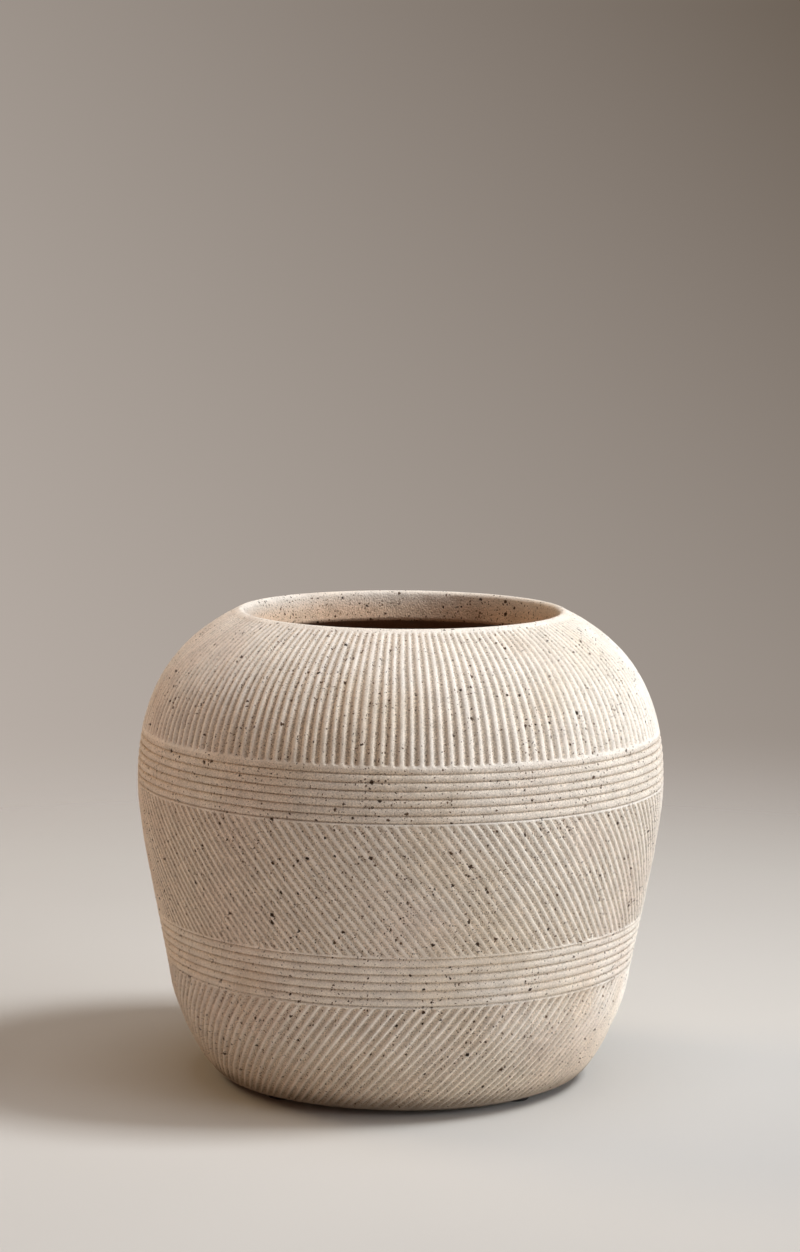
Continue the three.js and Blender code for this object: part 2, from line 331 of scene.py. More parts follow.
class RingSkin:
    """Closed mesh over grids of rings that follow one another and end where they began."""

    PANELS = 3
    MARGIN = 0.012

    def __init__(self, grids: list[RingGrid]) -> None:
        """Takes the grids in their order along the closed section.

        Args:
            grids: Grids of rings.
        """
        self.grids = grids
        counts = [grid.turn.size for grid in grids]
        self.starts = np.concatenate([[0], np.cumsum(counts)[:-1]])

    @staticmethod
    def _in_order(turn: np.ndarray, start: int) -> tuple[np.ndarray, np.ndarray]:
        """Puts the points of a ring in the order of their angles.

        Args:
            turn: Angles of the points.
            start: Index of the first point.

        Returns:
            The angle half-way from each point to the next, and the points' indices, with the first one again
            at the end.
        """
        turn = np.mod(turn, TURN)
        order = np.argsort(turn)
        ordered = turn[order]
        following = np.append(ordered[1:], ordered[0] + TURN)
        return (ordered + following) / 2, start + np.append(order, order[0])

    def _zipped(self, near: np.ndarray, near_start: int, far: np.ndarray, far_start: int) -> np.ndarray:
        """Joins two rings with different points, taken in turn by their angles.

        Args:
            near: Angles of the first ring.
            near_start: Index of its first point.
            far: Angles of the second ring.
            far_start: Index of its first point.

        Returns:
            Triangles as rows of three indices.
        """
        near_middle, near_index = self._in_order(near, near_start)
        far_middle, far_index = self._in_order(far, far_start)
        met = np.searchsorted(far_middle, near_middle, side="left")
        first = np.stack([near_index[:-1], near_index[1:], far_index[met]], axis=-1)
        met = np.searchsorted(near_middle, far_middle, side="right")
        second = np.stack([near_index[met], far_index[1:], far_index[:-1]], axis=-1)
        return np.vstack([first, second])

    def triangles(self) -> tuple[np.ndarray, np.ndarray]:
        """Joins all the grids into one closed skin.

        Returns:
            The triangles, and the number of the grid that each one belongs to.
        """
        parts = []
        owners = []
        for number, (grid, start) in enumerate(zip(self.grids, self.starts)):
            index = start + np.arange(grid.turn.size).reshape(grid.turn.shape)
            other = (number + 1) % len(self.grids)
            strip = self._zipped(grid.turn[-1], index[-1, 0], self.grids[other].turn[0], self.starts[other])
            for part in (joined_rings(index), strip):
                parts.append(part)
                owners.append(np.full(len(part), number))
        return np.vstack(parts), np.concatenate(owners)

    def _bake_places(self, triangles: np.ndarray, owners: np.ndarray) -> np.ndarray:
        """Lays the skin out flat: panels of the outer face, and one panel for the rest.

        Args:
            triangles: Triangles of the skin.
            owners: Grid of each triangle.

        Returns:
            A place from 0 to 1 each way for each corner of each triangle.
        """
        turn = np.concatenate([grid.turn.ravel() for grid in self.grids])[triangles]
        along = np.concatenate([grid.along.ravel() for grid in self.grids])[triangles]
        outer = np.array([grid.face is Face.OUTER for grid in self.grids])[owners]
        first = turn[:, :1]
        turn = first + np.mod(turn - first + TURN / 2, TURN) - TURN / 2
        turn -= np.floor(turn.mean(axis=1, keepdims=True) / TURN) * TURN
        wide = np.where(outer, TURN / self.PANELS, TURN)[:, None]
        panel = np.where(outer, np.floor(turn.mean(axis=1) / (TURN / self.PANELS)), self.PANELS)
        panel = np.clip(panel, 0, self.PANELS).astype(int)
        across = turn / wide - np.where(outer, panel, 0)[:, None]
        ends = {}
        for face in Face:
            reach = np.concatenate([grid.along.ravel() for grid in self.grids if grid.face is face])
            ends[face] = (reach.min(), reach.max())
        low = np.where(outer, ends[Face.OUTER][0], ends[Face.INNER][0])[:, None]
        high = np.where(outer, ends[Face.OUTER][1], ends[Face.INNER][1])[:, None]
        up = np.clip((along - low) / (high - low), 0.0, 1.0)
        cell = np.stack([panel % 2, panel // 2], axis=-1)[:, None, :]
        flat = np.stack([across, up], axis=-1) * (1.0 - 2.0 * self.MARGIN) + self.MARGIN
        return (flat + cell) / 2.0

    def mesh(self, name: str) -> bpy.types.Mesh:
        """Builds the mesh with its layers and its bake map.

        Args:
            name: Name of the mesh.

        Returns:
            The mesh.
        """
        points = np.vstack([grid.points() for grid in self.grids])
        triangles, owners = self.triangles()
        mesh = mesh_of(name, points, triangles)
        for layer in Layer:
            values = np.concatenate([getattr(grid, layer.value).ravel() for grid in self.grids])
            stored = mesh.attributes.new(layer.value, "FLOAT", "POINT")
            stored.data.foreach_set("value", values.astype(np.float32))
        places = self._bake_places(triangles, owners)
        bake = mesh.uv_layers.new(name=BAKE_MAP)
        bake.data.foreach_set("uv", places.astype(np.float32).ravel())
        return mesh


class NodeGraph:
    """Node tree of a material or world, with short calls for the nodes that the finishes need."""

    def __init__(self, owner: bpy.types.Material | bpy.types.World) -> None:
        """Opens the owner's node tree.

        Args:
            owner: Material or world.
        """
        owner.use_nodes = True
        self.tree = owner.node_tree

    def add(self, kind: str, **settings: object) -> bpy.types.Node:
        """Adds a node.

        Args:
            kind: Type of the node.
            settings: Properties to set on it.

        Returns:
            The node.
        """
        node = self.tree.nodes.new(kind)
        for name, value in settings.items():
            setattr(node, name, value)
        return node

    def plug_in(self, socket: Socket, value: object) -> None:
        """Links a socket to another one, or sets its value.

        Args:
            socket: Input socket.
            value: Output socket to link, or a plain value.
        """
        if isinstance(value, bpy.types.NodeSocket):
            self.tree.links.new(value, socket)
        elif socket.type == "RGBA" and len(value) == 3:
            socket.default_value = (*value, 1.0)
        else:
            socket.default_value = value

    def dress(self, node: bpy.types.Node, **values: object) -> None:
        """Plugs values into a node's inputs, named with underscores for spaces."""
        for name, value in values.items():
            self.plug_in(node.inputs[name.replace("_", " ")], value)

    def principled(self) -> bpy.types.Node:
        """Gives the material's own shader node."""
        return self.tree.nodes["Principled BSDF"]

    def layer(self, layer: Layer) -> Socket:
        """Reads a value that the mesh carries."""
        return self.add("ShaderNodeAttribute", attribute_name=layer.value).outputs["Fac"]

    def place(self) -> Socket:
        """Gives the place on the object, in metres."""
        return self.add("ShaderNodeTexCoord").outputs["Object"]

    def parts(self, vector: Socket) -> tuple[Socket, Socket, Socket]:
        """Takes a vector apart.

        Args:
            vector: The vector.

        Returns:
            Its three values.
        """
        node = self.add("ShaderNodeSeparateXYZ")
        self.plug_in(node.inputs[0], vector)
        return tuple(node.outputs)

    def noise(self, place: Socket, scale: float, detail: float = 2.0) -> Socket:
        """Adds smooth noise.

        Args:
            place: Place that the noise is read at.
            scale: Cells of noise in a metre.
            detail: Number of finer layers.

        Returns:
            Noise from 0 to 1.
        """
        node = self.add("ShaderNodeTexNoise")
        self.dress(node, Vector=place, Scale=scale, Detail=detail)
        return node.outputs[0]

    def calculate(self, operation: str, *values: Value) -> Socket:
        """Calculates with values.

        Args:
            operation: What to do with them.
            values: The values, as many as the operation takes.

        Returns:
            The result.
        """
        node = self.add("ShaderNodeMath", operation=operation)
        for socket, value in zip(node.inputs, values):
            self.plug_in(socket, value)
        return node.outputs[0]

    def ease(
        self, value: Value, low: Value, high: Value, start: Value = 0.0, end: Value = 1.0,
        easing: Easing = Easing.SMOOTH,
    ) -> Socket:
        """Eases a value between two marks.

        Args:
            value: Value to ease.
            low: Mark where the result has its start value.
            high: Mark where the result has its end value.
            start: Result at the low mark.
            end: Result at the high mark.
            easing: Way from the start value to the end value.

        Returns:
            The eased value.
        """
        node = self.add("ShaderNodeMapRange", interpolation_type=easing.value)
        self.dress(node, Value=value, From_Min=low, From_Max=high, To_Min=start, To_Max=end)
        return node.outputs[0]

    def mix(self, share: Value, first: Paint, second: Paint, blend: str = "MIX") -> Socket:
        """Mixes two colours.

        Args:
            share: Share of the second colour.
            first: First colour.
            second: Second colour.
            blend: How the second colour lies over the first.

        Returns:
            The mixed colour.
        """
        node = self.add("ShaderNodeMix", data_type="RGBA", blend_type=blend)
        self.plug_in(node.inputs["Factor"], share)
        self.plug_in(node.inputs[6], first)
        self.plug_in(node.inputs[7], second)
        return node.outputs[2]

    def blend_values(self, share: Value, first: Value, second: Value) -> Socket:
        """Mixes two numbers.

        Args:
            share: Share of the second number.
            first: First number.
            second: Second number.

        Returns:
            The mixed number.
        """
        node = self.add("ShaderNodeMix", data_type="FLOAT")
        self.plug_in(node.inputs["Factor"], share)
        self.plug_in(node.inputs[2], first)
        self.plug_in(node.inputs[3], second)
        return node.outputs[0]

    def bump(self, height: Value, strength: float, distance: float, under: Socket | None = None) -> Socket:
        """Adds fine unevenness to the surface.

        Args:
            height: Height of the surface, from 0 to 1.
            strength: Strength of the effect.
            distance: Depth in metres of a height of 1.
            under: Normal from an earlier bump, if there is one.

        Returns:
            The changed normal.
        """
        node = self.add("ShaderNodeBump")
        self.dress(node, Height=height, Strength=strength, Distance=distance)
        if under is not None:
            self.plug_in(node.inputs["Normal"], under)
        return node.outputs[0]


@dataclass(frozen=True)
class Ramp:
    """Change of a value between two marks."""

    low: float
    high: float
    start: float = 0.0
    end: float = 1.0
    easing: Easing = Easing.SMOOTH

    def of(self, graph: NodeGraph, value: Socket) -> Socket:
        """Adds the change to a finish."""
        return graph.ease(value, self.low, self.high, self.start, self.end, self.easing)


@dataclass(frozen=True)
class Patches:
    """Smooth noise with its values spread by a ramp."""

    scale: float
    detail: float
    ramp: Ramp

    def of(self, graph: NodeGraph, place: Socket) -> Socket:
        """Adds the patches to a finish."""
        return self.ramp.of(graph, graph.noise(place, self.scale, self.detail))


@dataclass(frozen=True)
class Specks:
    """One layer of mineral specks in the clay, spread through its thickness."""

    spacing: float
    largest: float
    share: float
    colour: Colour
    other_colour: Colour
    edge: float

    def cover(self, graph: NodeGraph, place: Socket, gather: Socket) -> tuple[Socket, Socket]:
        """Works out where the specks show.

        Args:
            graph: Graph of the finish.
            place: Place on the object, a little disturbed so that the specks aren't round.
            gather: How large the specks are, as a share of their full size.

        Returns:
            The cover from 0 to 1, and the colour of the specks.
        """
        cells = graph.add("ShaderNodeTexVoronoi")
        graph.dress(cells, Vector=place, Scale=1.0 / (self.spacing * MM))
        chances = graph.add("ShaderNodeSeparateColor")
        graph.plug_in(chances.inputs[0], cells.outputs["Color"])
        widest = self.largest / self.spacing
        size = graph.ease(chances.outputs[0], 1.0 - self.share, 1.0, 0.0, widest)
        size = graph.calculate("MULTIPLY", size, gather)
        inside = graph.calculate("SUBTRACT", size, cells.outputs["Distance"])
        cover = graph.ease(inside, 0.0, self.edge * widest)
        return cover, graph.mix(chances.outputs[1], self.colour, self.other_colour)


@dataclass(frozen=True)
class ClayFinish:
    """Unglazed speckled stoneware with a darker lining inside, partly painted shade of the hollow.

    Relief runs from 0 on a crest of the combing to 1 in a valley; it moves the colour toward the valley
    colour, partly a darker wash and partly painted shade. Lining is the way down from the lining's edge, in
    millimetres, and is negative above it.
    """

    clay: Colour = linear(244, 234, 221)
    # The valley colour is partly a darker wash and partly painted shade in the cuts.
    valley: Colour = linear(208, 191, 171)
    valley_wash_and_shade: Ramp = Ramp(0.1, 1.2)
    pink: Colour = linear(227, 207, 190)
    pink_patches: Patches = Patches(17.0, 3.0, Ramp(0.5, 0.7, 0.0, 0.5))
    tan: Colour = linear(216, 194, 164)
    tan_patches: Patches = Patches(11.0, 3.0, Ramp(0.52, 0.7, 0.0, 0.4))
    # Painted warm shade towards the base: up to 0.45 of the tan colour at the bottom, none from 50 mm up.
    low_warm_shade_by_height: Ramp = Ramp(0.002, 0.05, 0.45, 0.0)
    # Painted contact shade: the foot colour covers the lowest 14 mm of the pot, strongest at the bottom.
    foot: Colour = linear(108, 86, 66)
    foot_shade_by_height: Ramp = Ramp(0.002, 0.014, 0.7, 0.0)
    mottle: Patches = Patches(120.0, 4.0, Ramp(NOISE_LOW, NOISE_HIGH, 0.92, 1.06))
    torn: Ramp = Ramp(0.3, 1.0)
    detail: float = 3.0
    grain_scale: float = 1400.0
    dark_grains: tuple[float, float] = (0.88, 0.62)
    light_grains: tuple[float, float] = (1.06, 1.22)
    speck_layers: tuple[Specks, ...] = (
        Specks(0.9, 0.3, 0.62, linear(90, 68, 50), linear(142, 116, 90), 0.5),
        Specks(1.45, 0.54, 0.68, linear(60, 45, 33), linear(116, 90, 68), 0.4),
        Specks(4.0, 1.05, 0.46, linear(50, 38, 29), linear(94, 72, 54), 0.4),
    )
    speck_bend_scale: float = 800.0
    speck_bend: float = 0.0019
    speck_patches: Patches = Patches(55.0, 3.0, Ramp(0.35, 0.65, 0.82, 1.14))
    specks_by_relief: Ramp = Ramp(0.0, 1.0, 0.88, 1.08)
    specks_by_lining: Ramp = Ramp(-16.0, -6.0, 1.0, 1.25)
    # Painted warm shade on the lip's inner face, strongest toward the throat.
    lip_warm_shade: Colour = linear(238, 195, 150)
    lip_shade_by_lining: Ramp = Ramp(-16.0, -4.0, 0.0, 0.6)
    # Lining colours: a darker inside, partly a lining and partly painted shade of the hollow.
    lining: Colour = linear(168, 135, 111)
    dark_lining_and_shade: Colour = linear(137, 106, 84)
    lining_patch_scale: float = 90.0
    lining_edge: Ramp = Ramp(-0.25, 0.35)
    edge_wander_scale: float = 260.0
    edge_wander: float = 2.2
    clay_roughness: Patches = Patches(600.0, 2.0, Ramp(NOISE_LOW, NOISE_HIGH, 0.84, 0.92))
    lining_roughness: float = 0.42
    specular: float = 0.25
    sand_scale: float = 1100.0
    sand_by_relief: Ramp = Ramp(0.0, 1.0, 0.6, 1.0)
    sand_strength: float = 0.8
    sand_depth: float = 0.0006
    pit_strength: float = 0.2
    pit_depth: float = 0.0002

    def material(self) -> bpy.types.Material:
        """Builds the finish.

        Returns:
            The material.
        """
        material = bpy.data.materials.new("speckled_stoneware")
        graph = NodeGraph(material)
        place = graph.place()
        relief = graph.layer(Layer.RELIEF)
        depth = graph.layer(Layer.LINING)
        covers, colour = self._specked(graph, place, relief, depth, self._bare_clay(graph, place, relief))
        # Painted warm shade on the lip's inner face, multiplied in toward the throat.
        colour = graph.mix(self.lip_shade_by_lining.of(graph, depth), colour, self.lip_warm_shade, "MULTIPLY")
        # The darker lining inside, partly painted shade of the hollow, with a wandering edge below the
        # throat.
        wander = graph.noise(place, self.edge_wander_scale, self.detail)
        wander = graph.calculate("MULTIPLY_ADD", wander, self.edge_wander, -self.edge_wander / 2)
        lined = self.lining_edge.of(graph, graph.calculate("ADD", depth, wander))
        patches = graph.noise(place, self.lining_patch_scale, self.detail)
        lining_and_shade = graph.mix(patches, self.lining, self.dark_lining_and_shade)
        graph.dress(
            graph.principled(),
            Base_Color=graph.mix(lined, colour, lining_and_shade),
            Specular_IOR_Level=self.specular,
            Roughness=graph.blend_values(lined, self.clay_roughness.of(graph, place), self.lining_roughness),
            Normal=self._grain(graph, place, relief, covers),
        )
        return material

    def _bare_clay(self, graph: NodeGraph, place: Socket, relief: Socket) -> Socket:
        """Colours the clay without its specks: the valleys take partly painted shade, the lowest part
        painted warm shade and the foot painted contact shade.

        Args:
            graph: Graph of the finish.
            place: Place on the object.
            relief: Depth in the combing.

        Returns:
            The clay's colour.
        """
        height = graph.parts(place)[2]
        # Valleys move toward the valley colour: partly a darker wash, partly painted shade.
        colour = graph.mix(self.valley_wash_and_shade.of(graph, relief), self.clay, self.valley)
        colour = graph.mix(self.pink_patches.of(graph, place), colour, self.pink)
        tan = self.tan_patches.of(graph, place)
        # The tan patches are the clay's own colour; the tan low down is painted warm shade.
        tan = graph.calculate("MAXIMUM", tan, self.low_warm_shade_by_height.of(graph, height))
        colour = graph.mix(tan, colour, self.tan)
        # Painted contact shade at the foot, darkest at the bottom edge.
        colour = graph.mix(self.foot_shade_by_height.of(graph, height), colour, self.foot)
        torn = self.torn.of(graph, relief)
        dark = graph.blend_values(torn, *self.dark_grains)
        light = graph.blend_values(torn, *self.light_grains)
        grain = graph.ease(graph.noise(place, self.grain_scale), NOISE_LOW, NOISE_HIGH, dark, light)
        brightness = graph.calculate("MULTIPLY", self.mottle.of(graph, place), grain)
        shade = graph.add("ShaderNodeCombineColor")
        graph.dress(shade, Red=brightness, Green=brightness, Blue=brightness)
        return graph.mix(1.0, colour, shade.outputs[0], "MULTIPLY")

    def _specked(
        self, graph: NodeGraph, place: Socket, relief: Socket, depth: Socket, colour: Socket,
    ) -> tuple[Socket, Socket]:
        """Lays the specks over the clay's colour.

        Args:
            graph: Graph of the finish.
            place: Place on the object.
            relief: Depth in the combing.
            depth: Way down from the lining's edge.
            colour: The clay's colour.

        Returns:
            Where specks show, from 0 to 1, and the colour with them.
        """
        bend = graph.add("ShaderNodeTexNoise")
        graph.dress(bend, Vector=place, Scale=self.speck_bend_scale)
        shift = graph.add("ShaderNodeVectorMath", operation="MULTIPLY_ADD")
        for socket, value in zip(shift.inputs, (bend.outputs["Color"], (self.speck_bend,) * 3, place)):
            graph.plug_in(socket, value)
        gather = self.speck_patches.of(graph, place)
        gather = graph.calculate("MULTIPLY", gather, self.specks_by_relief.of(graph, relief))
        gather = graph.calculate("MULTIPLY", gather, self.specks_by_lining.of(graph, depth))
        covers = 0.0
        for layer in self.speck_layers:
            cover, speck = layer.cover(graph, shift.outputs[0], gather)
            colour = graph.mix(cover, colour, speck)
            covers = graph.calculate("MAXIMUM", covers, cover)
        return covers, colour

    def _grain(self, graph: NodeGraph, place: Socket, relief: Socket, covers: Socket) -> Socket:
        """Roughens the surface: sand grains, stronger in the valleys, and pits at the specks.

        Args:
            graph: Graph of the finish.
            place: Place on the object.
            relief: Depth in the combing.
            covers: Where specks show.

        Returns:
            The changed normal.
        """
        sand = graph.noise(place, self.sand_scale, self.detail)
        sand = graph.calculate("MULTIPLY", sand, self.sand_by_relief.of(graph, relief))
        sandy = graph.bump(sand, self.sand_strength, self.sand_depth)
        pits = graph.calculate("SUBTRACT", 1.0, covers)
        return graph.bump(pits, self.pit_strength, self.pit_depth, sandy)


@dataclass(frozen=True)
class MouldedFinish:
    """Moulded rubber, silicone or plastic with a fine texture."""

    name: str
    colour: Colour
    worn: Colour
    roughness: float
    specular: float
    texture: float
    depth: float
    wear: Patches = Patches(140.0, 4.0, Ramp(0.45, 0.75, 0.0, 0.7))
    roughness_spread: float = 0.06
    texture_strength: float = 0.4

    def material(self) -> bpy.types.Material:
        """Builds the finish.

        Returns:
            The material.
        """
        material = bpy.data.materials.new(self.name)
        graph = NodeGraph(material)
        place = graph.place()
        fine = graph.noise(place, self.texture)
        smoothest = self.roughness - self.roughness_spread
        roughest = self.roughness + self.roughness_spread
        graph.dress(
            graph.principled(),
            Base_Color=graph.mix(self.wear.of(graph, place), self.colour, self.worn),
            Roughness=graph.ease(fine, NOISE_LOW, NOISE_HIGH, smoothest, roughest),
            Specular_IOR_Level=self.specular,
            Normal=graph.bump(fine, self.texture_strength, self.depth),
        )
        return material


@dataclass(frozen=True)
class CombCuts:
    """How one zone of comb cuts is made.

    Phases are the places of the columns of points and crest is half of the ridge between two cuts, as
    shares of the space from one cut to the next. Steep and flat are the cut's first side and its bottom, as
    shares of its width.
    """

    bottom: float
    top: float
    count: int
    seed: int
    phases: tuple[float, ...]
    depth: float
    crest: float
    steep: float
    wear: float
    # Tone scales how far the valleys take the valley colour, which is partly painted shade.
    tone: float
    press_left: float
    press_right: float
    slant: float = 0.0
    flat: float = 0.0
    taper: float = 0.6
    bottom_fade: float = 0.9
    top_fade: float = 0.9
    bottom_round: float = 0.0
    row_step: float = 1.1
    stagger: float = 0.3
    top_stagger: float = 0.6
    spacing_spread: float = 0.022
    depth_spread: float = 0.10
    sway: float = 0.06
    sway_cell: float = 16.0
    stroke: float = 0.03
    stroke_cell: float = 30.0
    stroke_girth: float = 9.0
    wear_cell: float = 10.0
    wear_marks: Section = (-0.2, 0.9)
    # Extra valley darkening where the cuts are pressed: painted shade that changes with the side of the pot.
    pressed_valley_shade: float = 0.3


class CombedZone:
    """Points of one zone of comb cuts, in columns that follow the cuts."""

    LEAST_GAP = 0.01
    EDGE_LENGTH = 6.0
    EDGE_CROWDING = 2.5
    TOP_END_SHIFT = 5

    def __init__(self, cuts: CombCuts, outline: Outline, widest: float) -> None:
        """Spaces the points and draws what differs from cut to cut.

        Args:
            cuts: How the zone is cut.
            outline: Outline of the pot.
            widest: Largest radius of the pot.
        """
        self.cuts = cuts
        self.outline = outline
        self.widest = widest
        self.start = outline.place_at(cuts.bottom)
        self.end = outline.place_at(cuts.top)
        self.rows = self._rows()
        self.phase = np.tile(np.array(cuts.phases), cuts.count)[None, :]
        self.number = np.repeat(np.arange(cuts.count), len(cuts.phases))[None, :]
        self.place = np.broadcast_to(self.rows[:, None], (len(self.rows), self.phase.shape[1]))
        draw = np.random.default_rng(cuts.seed)
        self.shift = draw.normal(0.0, cuts.spacing_spread, cuts.count)[self.number]
        self.deep = 1.0 + draw.normal(0.0, cuts.depth_spread, cuts.count)[self.number]
        self.ends = draw.normal(0.0, cuts.stagger, cuts.count)[self.number]

    def _rows(self) -> np.ndarray:
        """Spaces rows along the zone, closer together near both ends.

        Returns:
            The places of the rows.
        """
        step = self.cuts.row_step
        length = self.end - self.start
        edge = min(self.EDGE_LENGTH, length / 4.0)
        near = np.linspace(0.0, edge, round(edge / step * self.EDGE_CROWDING) + 1)[:-1]
        inner = np.linspace(edge, length - edge, max(2, round((length - 2 * edge) / step) + 1))
        return self.start + np.concatenate([near, inner, length - near[::-1]])

    def _round_the_pot(self, number: np.ndarray) -> np.ndarray:
        """Gives the angles of cuts from their numbers, for every row."""
        return np.broadcast_to(number / self.cuts.count * TURN, self.place.shape)

    def turns(self) -> np.ndarray:
        """Leads each column along its cut, as unsteadily as a hand does.

        Returns:
            The angle of each point.
        """
        cuts = self.cuts
        length = self.outline.length
        sway = SurfaceNoise(cuts.seed + 1, cuts.sway_cell, TURN * self.widest, length)
        strokes = SurfaceNoise(cuts.seed + 2, cuts.stroke_cell, cuts.stroke_girth * cuts.count, length)
        middle = self._round_the_pot(self.number + 0.5)
        lean = cuts.sway * sway.at(self.place, middle) + self.shift
        lean = lean + cuts.stroke * strokes.at(self.place, middle)
        # The middle of a crest moves by half, and the columns keep their order and a small gap.
        weight = np.where(self.phase == 0.0, 0.5, 1.0)
        order = self.LEAST_GAP * np.arange(self.phase.shape[1])
        spread = np.maximum.accumulate(self.number + self.phase + lean * weight - order, axis=1) + order
        steps = np.diff(self.rows) / self.outline.radius_at((self.rows[1:] + self.rows[:-1]) / 2)
        twist = math.tan(cuts.slant) * np.concatenate([[0.0], np.cumsum(steps)])
        return spread / cuts.count * TURN + twist[:, None]

    def share(self) -> np.ndarray:
        """Works out how far down its cut each point lies.

        Returns:
            Shares from 0 on a crest to 1 at the bottom of a cut.
        """
        cuts = self.cuts
        across = np.clip((self.phase - cuts.crest) / (1.0 - 2.0 * cuts.crest), 0.0, 1.0)
        down = np.clip(across / cuts.steep, 0.0, 1.0)
        up = np.clip((1.0 - across) / (1.0 - cuts.steep - cuts.flat), 0.0, 1.0)
        bowl = 1.0 - (1.0 - np.minimum(down, up)) ** 2
        rounding = cuts.bottom_round * (1.0 - np.sqrt(1.0 - np.abs(2.0 * across - 1.0) ** 2))
        from_bottom = self.place - self.start - np.abs(self.ends) - rounding
        # The ends at the top take the draws of other columns.
        top_ends = np.abs(np.roll(self.ends, self.TOP_END_SHIFT, axis=1)) * cuts.top_stagger
        from_top = self.end - self.place - top_ends
        fade = smooth(from_bottom, 0.0, cuts.bottom_fade) * smooth(from_top, 0.0, cuts.top_fade)
        girth = cuts.wear_cell * cuts.count
        wearing = SurfaceNoise(cuts.seed + 3, cuts.wear_cell, girth, self.outline.length)
        crests = self._round_the_pot(self.number + (self.phase > 0.5))
        wear = cuts.wear * smooth(wearing.at(self.place, crests), *cuts.wear_marks)
        return (1.0 - (1.0 - bowl) * (1.0 - wear)) * fade


@dataclass(frozen=True)
class RidgeBand:
    """How one band of level ridges is made; steps are the rows of points, as shares of the pitch."""

    bottom: float
    pitch: float
    seed: int
    ground: float
    top_ridge: float = 0.0
    ridges: int = 6
    depth: float = 0.75
    sharpness: float = 3.6
    hollow: float = 0.25
    sway: float = 0.16
    sway_cell: float = 28.0
    weakness: float = 0.22
    weak_cell: float = 18.0
    noise_stride: float = 40.0
    noise_length: float = 400.0
    steady_edge: float = 0.8
    steps: tuple[float, ...] = (
        0.0, 0.035, 0.075, 0.12, 0.18, 0.28, 0.42, 0.58, 0.72, 0.82, 0.88, 0.925, 0.965,
    )

    def rows(self) -> tuple[np.ndarray, np.ndarray]:
        """Spaces the rows of points, closest together in the grooves.

        Returns:
            The heights of the rows, and how near each is to a groove, from 0 on a ridge to 1.
        """
        steps = np.array(self.steps)
        marks = (np.arange(self.ridges)[:, None] + steps[None, :]).ravel()
        near = np.abs(2.0 * (marks % 1.0) - 1.0)
        end = self.top_ridge / self.pitch
        last = steps[steps <= end]
        marks = np.append(marks, self.ridges + last)
        near = np.append(near, np.abs(2.0 * np.minimum(last, 0.5) - 1.0))
        return self.bottom + marks * self.pitch, near


